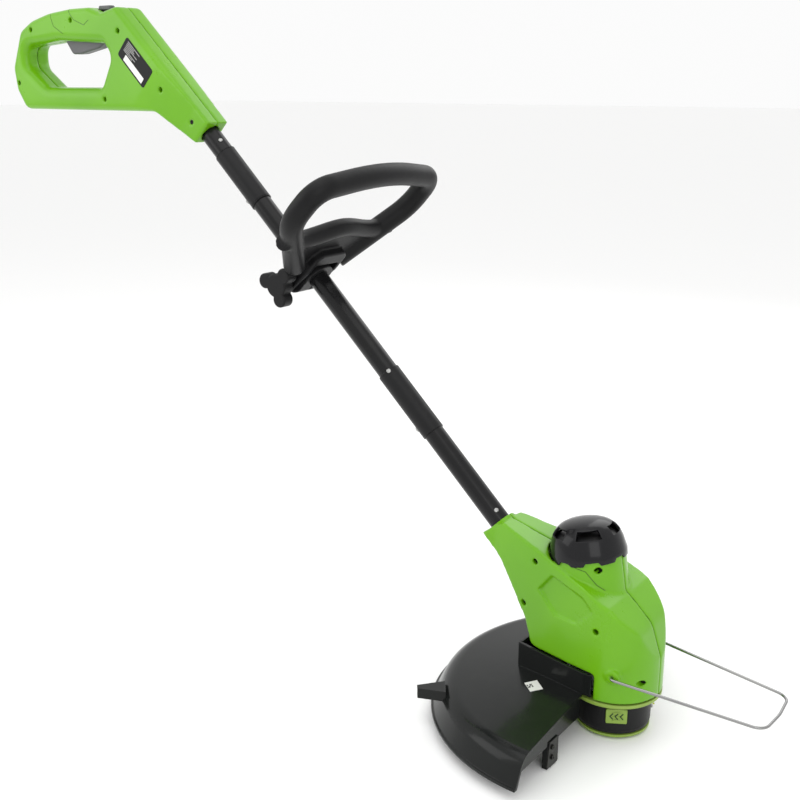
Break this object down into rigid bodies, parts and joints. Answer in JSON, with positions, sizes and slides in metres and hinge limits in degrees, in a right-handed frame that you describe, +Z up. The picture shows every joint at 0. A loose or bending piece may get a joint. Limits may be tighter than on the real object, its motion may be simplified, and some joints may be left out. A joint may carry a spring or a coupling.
{
  "type": "string trimmer",
  "caption": "Corded string trimmer with a sloping jointed shaft, closed rear grip, front loop handle, wide guard, spool head and hinged guide wire.",
  "frame": {"origin": "centre of the bump cap's flat bottom, on the spool's axis", "axes": "+X forward from the rear handle to the cutting head, +Y to the user's left, +Z up"},
  "size_m": [1.1587, 0.3936, 0.797],
  "materials": {
    "green_shell": "satin moulded plastic",
    "black_shell": "fine grained black plastic",
    "guard_black": "glossy black plastic",
    "grip_black": "matte grip",
    "lime": "lime plastic",
    "tube_black": "black coated tube",
    "steel": "bright steel",
    "wire_steel": "bright wire",
    "aluminium": "cast",
    "trigger_grey": "grey plastic",
    "copper": "enamelled copper",
    "magnet": "ferrite",
    "line": "nylon line",
    "cable": "cable sheath",
    "label_dark": "printed label",
    "label_light": "printed label"
  },
  "bodies": {
    "frame": {"lower_tube": "tube_black", "middle_tube": "tube_black", "upper_tube": "tube_black", "lower_sleeve": "black_shell", "upper_sleeve": "black_shell", "handle_shell_right": "green_shell", "handle_shell_left": "green_shell", "trigger_pin": "steel", "trigger_spring": "steel", "lock_off_spring": "steel", "switch": "black_shell", "power_inlet": "black_shell", "inlet_pins": "steel", "handle_cable": "cable", "motor_cable": "cable", "cable_connector": "black_shell", "rating_label": "label_dark", "handle_screws": "steel", "head_shell_right": "green_shell", "head_shell_left": "green_shell", "head_screws": "steel", "motor_cap": "black_shell", "motor_can": "steel", "field_magnets": "magnet", "brushes": "magnet", "bearings": "steel", "motor_plate": "aluminium", "motor_screws": "steel", "guard": "guard_black", "line_cutter": "steel", "cutter_screws": "steel", "guard_screws": "steel", "guard_label": "label_light"},
    "trigger": {"trigger": "trigger_grey"},
    "lock_off": {"lock_off_button": "trigger_grey"},
    "lower_button": {"lower_snap_button": "steel"},
    "upper_button": {"upper_snap_button": "steel"},
    "clamp": {"clamp_saddle": "black_shell"},
    "loop": {"loop_handle": "grip_black", "clamp_nut": "steel"},
    "knob": {"clamp_knob": "black_shell", "clamp_bolt": "steel"},
    "rotor": {"motor_shaft": "steel", "rotor_core": "steel", "rotor_windings": "copper", "commutator": "copper", "motor_fan": "black_shell", "drive_flange": "lime", "spool_cover": "black_shell", "cover_ring": "lime", "line_eyelets": "steel", "line_tips": "line", "spool_spring": "steel"},
    "bump": {"bump_cap": "lime", "spool": "black_shell", "line_winding": "line"},
    "latch_right": {"latch_right": "lime"},
    "latch_left": {"latch_left": "lime"},
    "wire": {"guide_wire": "wire_steel"}
  },
  "joints": [
    {"name": "trigger_pull", "type": "hinge", "parent": "frame", "child": "trigger", "pos_m": [-0.795, 0, 0.762], "axis": [0, 1, 0], "range_deg": [0, 8], "stiffness_Nm_per_rad": 0.9, "springref_deg": -14.32},
    {"name": "lock_off_press", "type": "slide", "parent": "frame", "child": "lock_off", "axis": [0, 0, -1], "range_m": [0, 0.003], "stiffness_N_per_m": 900, "springref_m": -0.001},
    {"name": "lower_button_press", "type": "slide", "parent": "frame", "child": "lower_button", "axis": [0.6921, 0, 0.7218], "range_m": [0, 0.0035], "stiffness_N_per_m": 1500, "springref_m": -0.001},
    {"name": "upper_button_press", "type": "slide", "parent": "frame", "child": "upper_button", "axis": [0.6921, 0, 0.7218], "range_m": [0, 0.0035], "stiffness_N_per_m": 1500, "springref_m": -0.001},
    {"name": "front_handle_slide", "type": "slide", "parent": "frame", "child": "clamp", "axis": [-0.7218, 0, 0.6921], "range_m": [-0.14, 0.09]},
    {"name": "front_handle_tilt", "type": "hinge", "parent": "clamp", "child": "loop", "pos_m": [-0.45323, 0, 0.45851], "axis": [0, 1, 0], "range_deg": [-20, 20]},
    {"name": "clamp_knob_turn", "type": "hinge", "parent": "loop", "child": "knob", "pos_m": [-0.45323, 0, 0.45851], "axis": [0, 1, 0], "continuous": true},
    {"name": "motor_spin", "type": "hinge", "parent": "frame", "child": "rotor", "pos_m": [0, 0, 0], "axis": [0, 0, 1], "continuous": true},
    {"name": "bump_press", "type": "slide", "parent": "rotor", "child": "bump", "axis": [0, 0, 1], "range_m": [0, 0.004], "stiffness_N_per_m": 1500, "springref_m": -0.002, "deforming": ["spool_spring"]},
    {"name": "latch_right_press", "type": "slide", "parent": "rotor", "child": "latch_right", "axis": [-0.5, 0.866, 0], "range_m": [0, 0.0015], "stiffness_N_per_m": 3000, "springref_m": -0.0005},
    {"name": "latch_left_press", "type": "slide", "parent": "rotor", "child": "latch_left", "axis": [0.5, -0.866, 0], "range_m": [0, 0.0015], "stiffness_N_per_m": 3000, "springref_m": -0.0005},
    {"name": "guide_wire_swing", "type": "hinge", "parent": "frame", "child": "wire", "pos_m": [0.02, 0, 0.084], "axis": [0, -1, 0], "range_deg": [0, 90]}
  ]
}
